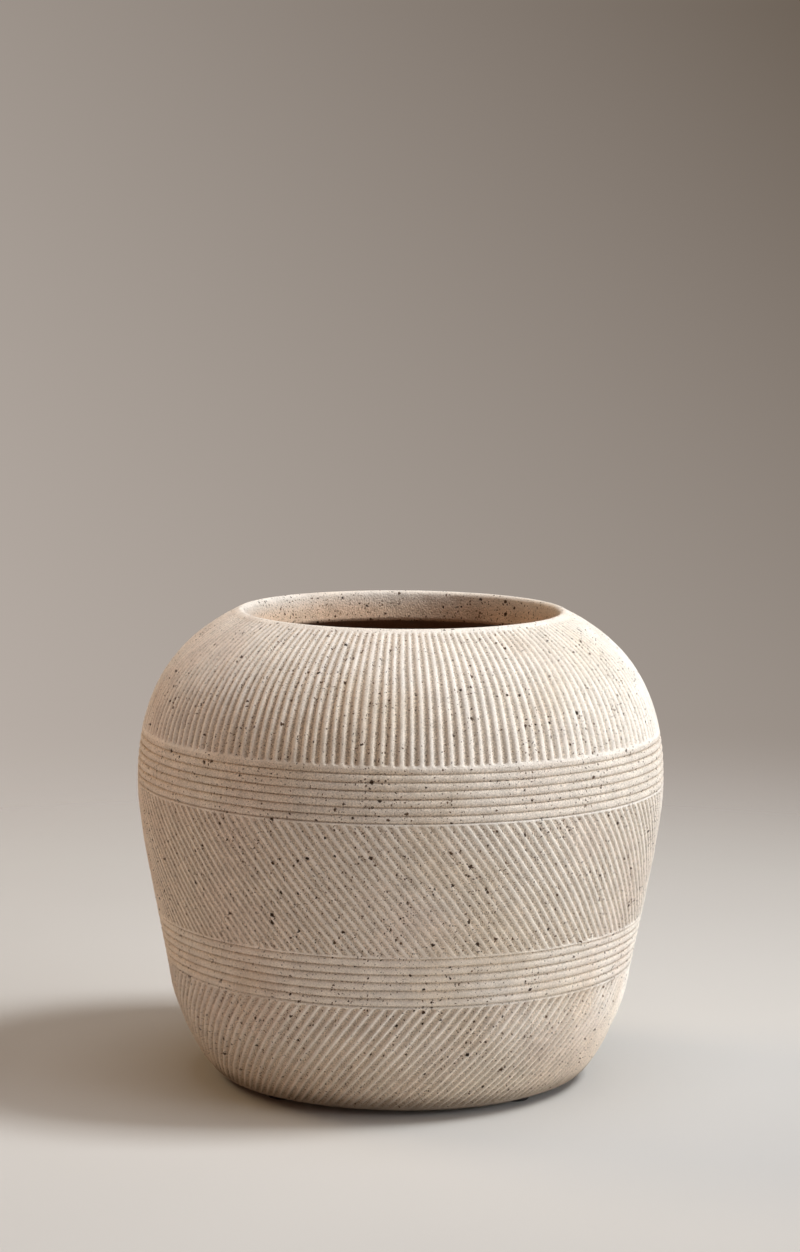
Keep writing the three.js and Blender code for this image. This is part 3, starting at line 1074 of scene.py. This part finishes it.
@dataclass
class PotBody:
    """The fired pot with its combed outside, rim, lined inside, drain hole and foot."""

    rim_height: float = 223.1
    mouth_radius: float = 74.4
    rim_slope: float = math.radians(63.7)
    lip_slope: float = math.radians(10.0)
    belly: Section = (125.2, 143.4)
    heel: Section = (109.3, 44.8)
    heel_slope: float = math.radians(9.5)
    base: Section = (86.0, 2.5)
    base_slope: float = math.radians(76.0)
    base_reach: float = 9.0
    heel_reaches: Section = (9.5, 31.7)
    belly_reaches: Section = (24.0, 46.7)
    rim_reach: float = 28.2
    wall: float = 11.0
    lip: float = 15.0
    lip_taper: float = 45.0
    rim_edge: float = 2.5
    # Relief on the rim and lip: painted shade toward the valley colour, with more specks and grain.
    rim_shade_and_grit: float = 0.42
    throat_edge: float = 2.0
    throat_lining: float = 0.6
    wall_lining: float = 0.9
    wall_start: float = 3.4
    floor_top: float = 18.5
    floor_corner: float = 6.0
    recess_ceiling: float = 8.5
    recess_radius: float = 66.0
    recess_corner: float = 1.5
    drain_radius: float = 10.0
    edge_round: float = 0.8
    comb_slant: float = math.radians(37.0)
    base_top: float = 3.3
    flute_margin: float = 0.5
    broad_cell: float = 45.0
    broad_depth: float = 0.22
    middling_cell: float = 7.0
    middling_depth: float = 0.07
    sand_cell: float = 1.7
    sand_depth: float = 0.05
    rim_rise: float = 3.0
    rim_unevenness: float = 0.10
    wheel_pitch: float = 9.0
    wheel_depth: float = 0.22
    wheel_start: Section = (22.0, 40.0)
    wheel_end: Section = (14.0, 30.0)
    trimming_pitch: float = 3.4
    trimming_depth: float = 0.12
    finish: ClayFinish = field(default_factory=ClayFinish)

    FINE_COLUMNS = 1376
    RIM_COLUMNS = 688
    INNER_COLUMNS = 430
    FLOOR_COLUMNS = 172
    BASE_ROWS = 5
    ROUNDING_POINTS = 10

    def __post_init__(self) -> None:
        """Draws the outline and the noise that the surface is uneven by."""
        self.rim_way = self._leaning(self.rim_slope)
        self.rim_normal = np.array([self.rim_way[1], -self.rim_way[0]])
        self.lip_way = -self._leaning(-self.lip_slope)
        self.lip_normal = np.array([self.lip_way[1], -self.lip_way[0]])
        centre = (self.mouth_radius - self.rim_edge * self.lip_normal[0], self.rim_height - self.rim_edge)
        self.rim_centre = np.array(centre)
        self.rim_start = tuple(self.rim_centre + self.rim_edge * self.rim_normal)
        self.outline = self._outline()
        self.girth = TURN * self.belly[0]
        length = self.outline.length
        self.broad = SurfaceNoise(11, self.broad_cell, self.girth, length)
        self.middling = SurfaceNoise(12, self.middling_cell, self.girth, length)
        self.fine = SurfaceNoise(13, self.sand_cell, self.girth, length)

    @staticmethod
    def _leaning(angle: float) -> np.ndarray:
        """Gives the direction in the half-section that leans inwards from the vertical by an angle."""
        return np.array([-math.sin(angle), math.cos(angle)])

    def _outline(self) -> Outline:
        """Joins the stretches of the outline.

        Returns:
            The outline.
        """
        marks = (
            (np.array(self.base), self._leaning(-self.base_slope), (0.0, self.base_reach)),
            (np.array(self.heel), self._leaning(-self.heel_slope), self.heel_reaches),
            (np.array(self.belly), self._leaning(0.0), self.belly_reaches),
            (np.array(self.rim_start), self.rim_way, (self.rim_reach, 0.0)),
        )
        stretches = []
        for (start, start_way, reaches), (end, end_way, end_reaches) in zip(marks, marks[1:]):
            first = start + start_way * reaches[1]
            second = end - end_way * end_reaches[0]
            stretches.append((tuple(start), tuple(first), tuple(second), tuple(end)))
        return Outline(stretches)

    def _outer_grid(
        self, place: np.ndarray, turn: np.ndarray, cut: np.ndarray, relief: np.ndarray,
    ) -> RingGrid:
        """Makes rings on the outer face, as uneven as hand-made ones.

        Args:
            place: Places along the outline.
            turn: Angles of the points.
            cut: Depth of the combing at each point.
            relief: Share of the full depth.

        Returns:
            The rings.
        """
        broad = self.broad_depth * self.broad.at(place, turn)
        middling = self.middling_depth * self.middling.at(place, turn)
        sandy = self.sand_depth * relief * self.fine.at(place, turn)
        radius, height = self.outline.below(place, cut + (broad + middling) + sandy)
        return RingGrid(turn, radius, height, place, relief, np.full(turn.shape, UNLINED), Face.OUTER)

    def _combed(self, cuts: CombCuts) -> RingGrid:
        """Makes one zone of comb cuts.

        Args:
            cuts: How the zone is cut.

        Returns:
            The zone's rings, with columns that follow the cuts.
        """
        zone = CombedZone(cuts, self.outline, self.belly[0])
        turn = zone.turns()
        share = zone.share()
        side = np.cos(turn)
        press = np.where(side < 0.0, cuts.press_left, cuts.press_right) * side**2
        narrow = (self.outline.radius_at(zone.rows)[:, None] / self.belly[0]) ** cuts.taper
        depth = cuts.depth * zone.deep * narrow * share * (1.0 + press)
        # Pressing also darkens the valleys' colour: painted shade, stronger at the pot's sides than at its
        # front.
        relief = cuts.tone * share * (1.0 + cuts.pressed_valley_shade * press)
        return self._outer_grid(zone.place, turn, depth, relief)

    def _banded(self, band: RidgeBand) -> RingGrid:
        """Makes one band of level ridges.

        Args:
            band: How the band is made.

        Returns:
            The band's rings.
        """
        heights, near = band.rows()
        rows = np.array([self.outline.place_at(height) for height in heights])
        turn = even_turns(len(rows), self.FINE_COLUMNS)
        wobble = SurfaceNoise(band.seed, band.sway_cell, self.girth, band.noise_length)
        weak = SurfaceNoise(band.seed + 1, band.weak_cell, self.girth, band.noise_length)
        line = np.round((heights - band.bottom) / band.pitch)[:, None] * band.noise_stride
        line = np.broadcast_to(line, turn.shape)
        steady = smooth(np.minimum(rows - rows[0], rows[-1] - rows), 0.0, band.steady_edge)[:, None]
        place = rows[:, None] + band.sway * wobble.at(line, turn) * steady
        deep = 1.0 + band.weakness * weak.at(line, turn)
        share = np.broadcast_to(near[:, None] ** band.sharpness, turn.shape)
        cut = band.depth * (deep * share + band.hollow * near[:, None] ** 2)
        return self._outer_grid(place, turn, cut, band.ground + (1.0 - band.ground) * share)

    def _zones(self) -> tuple[CombCuts | RidgeBand, ...]:
        """Lists the zones of ornament from the base up to the rim.

        Returns:
            The zones.
        """
        lower = CombCuts(
            bottom=3.4, top=56.2, count=140, seed=21, slant=self.comb_slant,
            phases=(0.0, 0.13, 0.2, 0.28, 0.38, 0.5, 0.62, 0.72, 0.8, 0.87),
            depth=1.15, crest=0.12, steep=0.4, flat=0.15, wear=0.2, tone=0.9,
            press_left=0.4, press_right=0.6, bottom_fade=3.0,
        )
        lower_band = RidgeBand(bottom=56.7, pitch=3.8, seed=31, ground=0.4)
        middle = CombCuts(
            bottom=79.9, top=142.1, count=172, seed=41, slant=-self.comb_slant,
            phases=(0.0, 0.06, 0.12, 0.18, 0.25, 0.4, 0.56, 0.7, 0.83, 0.93),
            depth=0.37, crest=0.11, steep=0.26, flat=0.24, wear=0.16, tone=0.98,
            press_left=1.4, press_right=1.2,
        )
        upper_band = RidgeBand(bottom=142.5, pitch=3.65, seed=51, ground=0.56, top_ridge=2.3)
        flutes = CombCuts(
            bottom=167.2, top=self.rim_start[1] - self.flute_margin, count=172, seed=61,
            phases=(0.0, 0.13, 0.21, 0.33, 0.5, 0.67, 0.79, 0.87),
            depth=1.22, crest=0.17, steep=0.5, taper=1.6, wear=0.12, tone=1.02,
            press_left=0.6, press_right=-0.3,
            bottom_fade=1.1, top_fade=2.5, bottom_round=0.9, row_step=1.3,
        )
        return lower, lower_band, middle, upper_band, flutes

    def _outer_grids(self) -> list[RingGrid]:
        """Makes the outer face from the base up to the rim.

        Returns:
            Its grids of rings.
        """
        turn = even_turns(self.BASE_ROWS, self.RIM_COLUMNS)
        base = np.linspace(0.0, self.outline.place_at(self.base_top), self.BASE_ROWS)[:, None]
        plain = np.zeros(turn.shape)
        grids = [self._outer_grid(np.broadcast_to(base, turn.shape), turn, plain, plain)]
        for zone in self._zones():
            grids.append(self._combed(zone) if isinstance(zone, CombCuts) else self._banded(zone))
        return grids

    @classmethod
    def _round_edge(
        cls, centre: np.ndarray, first: np.ndarray, last: np.ndarray, radius: float,
    ) -> list[np.ndarray]:
        """Rounds an edge of the half-section.

        Args:
            centre: Centre of the rounding.
            first: Way from the centre to the first point.
            last: Way from the centre to the last point.
            radius: Radius of the rounding.

        Returns:
            Points of the rounding.
        """
        start = math.atan2(first[1], first[0])
        sweep = (math.atan2(last[1], last[0]) - start) % TURN
        angles = start + np.linspace(0.0, sweep, cls.ROUNDING_POINTS)
        return [centre + radius * np.array([math.cos(angle), math.sin(angle)]) for angle in angles]

    @staticmethod
    def _ease_edge(corner: Section, across: float, up: float) -> list[Section]:
        """Takes the sharpness off an edge between a level and an upright face.

        Args:
            corner: The sharp edge.
            across: Way from the edge to the first point, on the level face.
            up: Way from the edge to the last point, on the upright face.

        Returns:
            Three points, from the level face to the upright one.
        """
        x, y = corner
        return [(x + across, y), (x + 0.3 * across, y + 0.3 * up), (x, y + up)]

    def _rim_grid(self) -> RingGrid:
        """Makes the rounded rim and the steep face of the lip.

        Returns:
            The grid of rings, with the lining's edge at the throat.
        """
        down = -self.rim_normal
        face = self.rim_centre + self.lip_normal * (self.rim_edge - self.throat_edge)
        depth = float((face - np.array(self.rim_start)) @ down)
        drop = (self.lip - self.throat_edge - depth) / float(self.lip_way @ down)
        throat = face + self.lip_way * drop
        first = self._round_edge(self.rim_centre, self.rim_normal, self.lip_normal, self.rim_edge)
        second = self._round_edge(throat, self.lip_normal, down, self.throat_edge)
        between = [first[-1] + share * (second[0] - first[-1]) for share in np.linspace(0.0, 1.0, 13)[1:-1]]
        grid = RingGrid.level(self.RIM_COLUMNS, first + between + second, Face.INNER, 0.0)
        grid.lining = grid.along - grid.along[-1] + self.throat_lining
        rise = smooth(grid.along, 0.0, self.rim_rise)
        broad = self.rim_unevenness * self.broad.at(grid.along, grid.turn)
        middling = self.rim_unevenness * self.middling.at(grid.along * 2.0, grid.turn)
        grid.radius = grid.radius - rise * (broad + middling)
        # The rim's relief darkens the lip toward the valley colour as painted shade, and adds specks and
        # grain.
        grid.relief = self.rim_shade_and_grit * rise
        return grid

    def _wall_at(self, place: np.ndarray) -> np.ndarray:
        """Gives the wall's thickness at places along the outline."""
        return self.lip + (self.wall - self.lip) * smooth(self.outline.length - place, 0.0, self.lip_taper)

    def _inner_wall(self, start: float) -> RingGrid:
        """Makes the inner face down to the floor, with the marks of the wheel.

        Args:
            start: Way along the inside where the rim ends.

        Returns:
            The grid of rings.
        """
        places = np.linspace(self.outline.length - self.wall_start, 0.0, 400)
        radius, height = self.outline.below(places, self._wall_at(places))
        kept = height > self.floor_top + self.floor_corner
        wall = np.stack([radius[kept], height[kept]], axis=-1)[::2]
        centre = wall[-1] - (self.floor_corner, 0.0)
        sections = [tuple(point) for point in wall]
        for angle in np.linspace(0.2, math.pi / 2, 7):
            point = centre + self.floor_corner * np.array([math.cos(angle), -math.sin(angle)])
            sections.append((point[0], max(point[1], self.floor_top)))
        grid = RingGrid.level(self.INNER_COLUMNS, sections, Face.INNER, start)
        spiral = np.sin(grid.height / self.wheel_pitch * TURN + grid.turn)
        spiral = self.wheel_depth * (spiral * smooth(grid.height, *self.wheel_start))
        grid.radius = grid.radius + spiral * smooth(self.rim_height - grid.height, *self.wheel_end)
        grid.lining = grid.along - start + self.wall_lining
        return grid

    def _inner_floor(self, start: float, reach: float) -> RingGrid:
        """Makes the floor and the drain hole.

        Args:
            start: Way along the inside where the floor begins.
            reach: Outermost radius of the floor.

        Returns:
            The grid of rings, lined down to the bottom of the hole.
        """
        hole = self.drain_radius
        edge = self.edge_round
        sections = [(radius, self.floor_top) for radius in np.linspace(reach - 2.0, hole + 4.0, 14)]
        sections += self._ease_edge((hole, self.floor_top), edge, -edge)
        sections.append((hole, self.recess_ceiling + edge))
        grid = RingGrid.level(self.FLOOR_COLUMNS, sections, Face.INNER, start)
        grid.lining = np.full(grid.turn.shape, LINED)
        grid.lining[-1] = UNLINED
        return grid

    def _underside(self, start: float) -> RingGrid:
        """Makes the recess under the floor and the foot ring, with the marks of trimming.

        Args:
            start: Way along the inside where the underside begins.

        Returns:
            The grid of rings.
        """
        hole = self.drain_radius
        edge = self.edge_round
        recess = self.recess_radius
        ceiling = self.recess_ceiling
        corner = self.recess_corner
        low = self.base[1]
        sections = self._ease_edge((hole, ceiling), edge, edge)[1::-1]
        sections += [(radius, ceiling) for radius in np.linspace(hole + 6.0, recess - corner, 20)]
        sections += self._ease_edge((recess, ceiling), -corner, -corner)[1:]
        sections += self._ease_edge((recess, low), edge, edge)[::-1]
        sections += [(radius, low) for radius in np.linspace(recess + 3.0, self.base[0] - 1.0, 6)]
        grid = RingGrid.level(self.FLOOR_COLUMNS, sections, Face.INNER, start)
        trimming = self.trimming_depth * np.sin(grid.radius / self.trimming_pitch * TURN + grid.turn)
        level = (grid.radius > hole + 5.0) & (grid.radius < recess - 2.0)
        grid.height = grid.height + np.where(level, trimming, 0.0)
        return grid

    def build(self) -> bpy.types.Object:
        """Builds the pot and dresses it.

        Returns:
            The pot.
        """
        rim = self._rim_grid()
        wall = self._inner_wall(float(rim.along.max()))
        floor = self._inner_floor(wall.along[-1, 0] + 2.0, wall.radius[-1, 0])
        under = self._underside(floor.along[-1, 0] + 1.0)
        mesh = RingSkin([*self._outer_grids(), rim, wall, floor, under]).mesh("pot_clay")
        return settle(mesh, self.finish.material(), Body.POT, "pot_body")


@dataclass(frozen=True)
class RoundedSection:
    """Half-section with rounded corners, to be turned about an axis."""

    corners: tuple[tuple[float, float, float], ...]
    steps: int = 5

    def points(self) -> list[Section]:
        """Rounds the corners.

        Returns:
            Radius and height of each point.
        """
        rounded = []
        for number, (x, y, radius) in enumerate(self.corners):
            here = Vector((x, y))
            if radius == 0.0:
                rounded.append((x, y))
                continue
            before = (Vector(self.corners[number - 1][:2]) - here).normalized()
            after = (Vector(self.corners[number + 1][:2]) - here).normalized()
            cut = radius / math.tan(before.angle(after) / 2.0)
            start, end = here + before * cut, here + after * cut
            for share in np.linspace(0.0, 1.0, self.steps):
                first, second = start.lerp(here, share), here.lerp(end, share)
                rounded.append(tuple(first.lerp(second, share)))
        return rounded

    def turned(self, name: str, columns: int, centre: Section) -> bpy.types.Mesh:
        """Turns the section about an upright axis.

        Args:
            name: Name of the mesh.
            columns: Points round the axis.
            centre: Where the axis stands.

        Returns:
            The closed mesh.
        """
        section = np.array(self.points())
        rings = section[1:-1]
        turn = even_turns(len(rings), columns)
        x = centre[0] + rings[:, :1] * np.cos(turn)
        y = centre[1] + rings[:, :1] * np.sin(turn)
        z = np.broadcast_to(rings[:, 1:], x.shape)
        points = np.stack([x, y, z], axis=-1).reshape(-1, 3)
        ends = [(*centre, section[0][1]), (*centre, section[-1][1])]
        points = np.vstack([points, ends]) * MM
        index = np.arange(turn.size).reshape(turn.shape)
        following = np.roll(index, -1, axis=1)
        bottom = np.stack([following[0], index[0], np.full(columns, index.size)], axis=-1)
        top = np.stack([index[-1], following[-1], np.full(columns, index.size + 1)], axis=-1)
        return mesh_of(name, points, np.vstack([joined_rings(index), bottom, top]))


@dataclass
class DrainPlug:
    """Soft stopper in the drain hole, with a flange under the floor and a grip."""

    stem: float = 9.7
    taper: float = 0.8
    stem_top: float = 17.5
    flange: float = 15.0
    flange_top: float = 8.5
    flange_bottom: float = 6.0
    grip: float = 7.5
    waist: float = 5.5
    grip_bottom: float = 2.0
    columns: int = 96
    finish: MouldedFinish = MouldedFinish(
        "soft_silicone", linear(66, 58, 51), linear(104, 95, 86), 0.55, 0.4, 2400.0, 0.00008
    )

    def build(self) -> bpy.types.Object:
        """Builds the plug and dresses it.

        Returns:
            The plug.
        """
        middle = (self.grip_bottom + self.flange_bottom) / 2
        section = RoundedSection((
            (0.0, self.grip_bottom, 0.0),
            (self.grip, self.grip_bottom, 0.8),
            (self.grip, middle, 0.6),
            (self.waist, self.flange_bottom, 0.5),
            (self.flange, self.flange_bottom, 0.8),
            (self.flange, self.flange_top, 0.3),
            (self.stem, self.flange_top, 0.25),
            (self.stem - self.taper, self.stem_top, 1.0),
            (0.0, self.stem_top, 0.0),
        ))
        mesh = section.turned("plug_silicone", self.columns, (0.0, 0.0))
        return settle(mesh, self.finish.material(), Body.PLUG, "drain_plug")


@dataclass
class DrainScreen:
    """Moulded mesh disc over the drain hole."""

    radius: float = 23.0
    bottom: float = 18.5
    thickness: float = 1.5
    rim: float = 2.4
    hole: float = 3.4
    bar: float = 1.6
    corner: float = 0.45
    edge: float = 0.28
    columns: int = 120
    edge_steps: int = 3
    corner_steps: int = 3
    sharpest: float = math.radians(50.0)
    finish: MouldedFinish = MouldedFinish(
        "moulded_screen", linear(58, 62, 59), linear(96, 98, 92), 0.48, 0.45, 1800.0, 0.00006
    )

    MERGE_DISTANCE = 1e-6

    def _hole_centres(self) -> list[Section]:
        """Lists the middles of the holes, on a square lattice inside the rim.

        Returns:
            The middle of each hole.
        """
        pitch = self.hole + self.bar
        reach = math.ceil(self.radius / pitch)
        steps = [step * pitch for step in range(-reach, reach + 1)]
        limit = self.radius - self.rim
        half = self.hole / 2
        return [(x, y) for x in steps for y in steps if math.hypot(abs(x) + half, abs(y) + half) < limit]

    def _hole_outline(self, x: float, y: float, inset: float) -> list[Section]:
        """Draws a hole with rounded corners.

        Args:
            x: Middle of the hole, across.
            y: Middle of the hole, to the back.
            inset: How far the edge is set back into the sheet.

        Returns:
            Points of the outline, clockwise.
        """
        flat = self.hole / 2 - self.corner
        bend = self.corner + inset
        outline = []
        for number, (side, end) in enumerate(((1, 1), (-1, 1), (-1, -1), (1, -1))):
            for step in range(self.corner_steps + 1):
                turn = (number + step / self.corner_steps) * TURN / 4
                across = x + side * flat + bend * math.cos(turn)
                outline.append((across, y + end * flat + bend * math.sin(turn)))
        return outline[::-1]

    def _loops(self, inset: float) -> list[list[Section]]:
        """Draws the disc's edge and the holes, each set back into the sheet.

        Args:
            inset: How far the edges are set back.

        Returns:
            The disc's edge, anticlockwise, and the holes, clockwise.
        """
        radius = self.radius - inset
        turns = [step / self.columns * TURN for step in range(self.columns)]
        loops = [[(radius * math.cos(turn), radius * math.sin(turn)) for turn in turns]]
        return loops + [self._hole_outline(x, y, inset) for x, y in self._hole_centres()]

    def _edge_rings(self) -> list[Section]:
        """Rounds the sheet's edges.

        Returns:
            Inset and height of each ring of points, from the top face down to the bottom face.
        """
        top = []
        for step in range(self.edge_steps + 1):
            turn = step / self.edge_steps * TURN / 4
            inset = self.edge * (1 - math.sin(turn))
            top.append((inset, self.thickness - self.edge * (1 - math.cos(turn))))
        return top + [(inset, self.thickness - height) for inset, height in reversed(top)]

    @classmethod
    def _face(cls, loops: list[list[Section]]) -> np.ndarray:
        """Fills the sheet between the disc's edge and the holes.

        Args:
            loops: The disc's edge and the holes.

        Returns:
            Triangles as rows of three indices, seen from above.
        """
        owner = np.repeat(np.arange(len(loops)), [len(loop) for loop in loops])
        spots = [Vector(spot) for loop in loops for spot in loop]
        edges = []
        for loop in loops:
            start = len(edges)
            edges += [(start + step, start + (step + 1) % len(loop)) for step in range(len(loop))]
        made = delaunay_2d_cdt(spots, edges, [], 0, cls.MERGE_DISTANCE)
        triangles = np.array([[made[3][corner][0] for corner in face] for face in made[2]])
        same = (owner[triangles] == owner[triangles[:, :1]]).all(axis=1)
        return triangles[~(same & (owner[triangles[:, 0]] > 0))]

    def build(self) -> bpy.types.Object:
        """Builds the screen and dresses it.

        Returns:
            The screen.
        """
        rings = self._edge_rings()
        levels = []
        for inset, height in rings:
            flat = np.array([spot for loop in self._loops(inset) for spot in loop])
            levels.append(np.column_stack([flat, np.full(len(flat), self.bottom + height)]))
        loops = self._loops(rings[0][0])
        sizes = np.array([len(loop) for loop in loops])
        count = int(sizes.sum())
        following = np.arange(count) + 1
        ends = np.cumsum(sizes)
        following[ends - 1] = ends - sizes
        steps = np.arange(len(rings) - 1)[:, None] * count
        high, high_next = steps + np.arange(count), steps + following
        low, low_next = high + count, high_next + count
        corners = ((high, low, low_next), (high, low_next, high_next))
        sides = [np.stack(three, axis=-1).reshape(-1, 3) for three in corners]
        top = self._face(loops)
        under = top[:, ::-1] + (len(rings) - 1) * count
        mesh = mesh_of("screen_mesh", np.vstack(levels) * MM, np.vstack([*sides, top, under]))
        mesh.set_sharp_from_angle(angle=self.sharpest)
        return settle(mesh, self.finish.material(), Body.SCREEN, "drain_screen")


@dataclass
class FootPad:
    """Rubber pad under the foot ring, one of a set that shares a finish."""

    number: int
    material: bpy.types.Material
    circle: float = 76.0
    radius: float = 7.0
    thickness: float = 2.5
    edge: float = 0.6
    top_edge: float = 0.25
    columns: int = 64

    COUNT = 4

    def build(self) -> bpy.types.Object:
        """Builds the pad and dresses it.

        Returns:
            The pad.
        """
        angle = (self.number - 0.5) / self.COUNT * TURN
        centre = (self.circle * math.cos(angle), self.circle * math.sin(angle))
        section = RoundedSection((
            (0.0, 0.0, 0.0),
            (self.radius, 0.0, self.edge),
            (self.radius, self.thickness, self.top_edge),
            (0.0, self.thickness, 0.0),
        ))
        mesh = section.turned(f"pad_rubber_{self.number}", self.columns, centre)
        return settle(mesh, self.material, Body.POT, f"foot_pad_{self.number}")


@dataclass
class AreaLight:
    """Square soft light that looks at the middle of the pot; azimuth 0 is the front and 90 is the right."""

    name: str
    azimuth: float
    elevation: float
    distance: float
    size: float
    power: float
    colour: Colour
    target: tuple[float, float, float] = (0.0, 0.0, 0.12)

    def build(self) -> None:
        """Hangs the light."""
        lamp = bpy.data.lights.new(self.name, "AREA")
        lamp.size = self.size
        lamp.energy = self.power
        lamp.color = self.colour
        light = bpy.data.objects.new(self.name, lamp)
        turn = math.radians(self.azimuth)
        level = math.cos(math.radians(self.elevation)) * self.distance
        rise = math.sin(math.radians(self.elevation)) * self.distance
        offset = Vector((math.sin(turn) * level, -math.cos(turn) * level, rise))
        light.location = Vector(self.target) + offset
        light.rotation_euler = offset.to_track_quat("Z", "Y").to_euler()
        light.visible_camera = False
        bpy.context.scene.collection.objects.link(light)


@dataclass
class Studio:
    """Plain pale floor that fades into a plain backdrop, with soft light from the right."""

    floor_colour: Colour = linear(205, 201, 195)
    floor_radius: float = 1.6
    floor_sides: int = 128
    floor_patches: Patches = Patches(3.0, 2.0, Ramp(NOISE_LOW, NOISE_HIGH))
    floor_patch_tone: float = 0.97
    floor_roughness: float = 0.9
    floor_specular: float = 0.15
    floor_fade: Ramp = Ramp(0.17, 1.13, 1.0, 0.0)
    bright_side: Colour = linear(187, 177, 169)
    dark_side: Colour = linear(103, 92, 81)
    overhead: Colour = linear(30, 26, 22)
    rightward: Ramp = Ramp(-0.12, 0.12, easing=Easing.EVEN)
    upward: Ramp = Ramp(-0.17, 0.06, easing=Easing.EVEN)
    overhead_start: Ramp = Ramp(0.1, 0.4)
    least_dark: float = 0.05
    dark_rightward: float = 0.4
    dark_upward: float = 0.4
    dark_corner: float = 0.1
    lights: tuple[AreaLight, ...] = (
        AreaLight("key", 86.0, 56.0, 4.0, 1.0, 124.0, (0.954, 1.0, 1.045)),
        AreaLight("low_right", 72.0, 12.0, 3.5, 2.4, 71.5, (0.959, 1.0, 1.07)),
        AreaLight("left", -114.0, 38.0, 3.0, 1.2, 22.5, (1.0, 0.76, 0.49)),
        AreaLight("overhead", 0.0, 88.0, 3.0, 1.8, 24.0, (1.0, 0.97, 1.0)),
        AreaLight("fill", -62.0, 8.0, 3.0, 2.4, 6.0, (1.0, 0.3, 0.06)),
    )

    def _paper(self) -> bpy.types.Material:
        """Makes the floor's finish, which fades away from the pot.

        Returns:
            The material.
        """
        material = bpy.data.materials.new("floor_paper")
        graph = NodeGraph(material)
        place = graph.place()
        darker = tuple(part * self.floor_patch_tone for part in self.floor_colour)
        reach = graph.add("ShaderNodeVectorMath", operation="LENGTH")
        graph.plug_in(reach.inputs[0], place)
        graph.dress(
            graph.principled(),
            Base_Color=graph.mix(self.floor_patches.of(graph, place), self.floor_colour, darker),
            Roughness=self.floor_roughness,
            Specular_IOR_Level=self.floor_specular,
            Alpha=self.floor_fade.of(graph, reach.outputs["Value"]),
        )
        return material

    def _floor(self) -> None:
        """Lays the floor."""
        mesh = bpy.data.meshes.new("floor")
        sheet = bmesh.new()
        bmesh.ops.create_circle(sheet, cap_ends=True, radius=self.floor_radius, segments=self.floor_sides)
        sheet.to_mesh(mesh)
        sheet.free()
        mesh.materials.append(self._paper())
        floor = bpy.data.objects.new("floor", mesh)
        bpy.context.scene.collection.objects.link(floor)

    def _backdrop(self) -> None:
        """Colours the world: lighter to the left and low, darker to the right and high."""
        world = bpy.data.worlds.new("backdrop")
        graph = NodeGraph(world)
        way = graph.parts(graph.add("ShaderNodeTexCoord").outputs["Generated"])
        right = self.rightward.of(graph, way[0])
        high = self.upward.of(graph, way[2])
        corner = graph.calculate("MULTIPLY", right, high)
        shares = ((right, self.dark_rightward), (high, self.dark_upward), (corner, self.dark_corner))
        dark = self.least_dark
        for value, share in shares:
            dark = graph.calculate("MULTIPLY_ADD", value, share, dark)
        colour = graph.mix(dark, self.bright_side, self.dark_side)
        colour = graph.mix(self.overhead_start.of(graph, way[2]), colour, self.overhead)
        graph.dress(graph.tree.nodes["Background"], Color=colour)
        bpy.context.scene.world = world

    def build(self) -> None:
        """Sets up the floor, the backdrop and the lights."""
        self._floor()
        self._backdrop()
        for light in self.lights:
            light.build()
        bpy.context.scene.view_settings.view_transform = "Standard"


@dataclass
class PhotoCamera:
    """Camera where the photograph was taken from."""

    place: tuple[float, float, float] = (-0.00095, -1.557, 0.4098)
    pitch: float = math.radians(7.137)
    roll: float = math.radians(0.44)
    lens: float = 95.02
    sensor: float = 36.0

    def build(self) -> None:
        """Sets up the camera and makes it the scene's own."""
        data = bpy.data.cameras.new("camera")
        data.lens = self.lens
        data.sensor_width = self.sensor
        camera = bpy.data.objects.new("camera", data)
        tilt = Matrix.Rotation(math.pi / 2 - self.pitch, 4, "X")
        camera.matrix_world = Matrix.Translation(self.place) @ tilt @ Matrix.Rotation(self.roll, 4, "Z")
        bpy.context.scene.collection.objects.link(camera)
        bpy.context.scene.camera = camera


def main() -> None:
    """Builds the pieces in order, then the studio and the camera."""
    logging.basicConfig(level=logging.INFO, format="%(message)s")
    rubber = MouldedFinish("foot_rubber", linear(43, 39, 36), linear(84, 78, 72), 0.75, 0.3, 1500.0, 0.0001)
    pad_material = rubber.material()
    makers = [PotBody(), DrainPlug(), DrainScreen()]
    makers += [FootPad(number, pad_material) for number in range(1, FootPad.COUNT + 1)]
    for maker in makers:
        piece = maker.build()
        LOG.info("%s: %d faces", piece.name, len(piece.data.polygons))
    Studio().build()
    PhotoCamera().build()


if __name__ == "__main__":
    main()
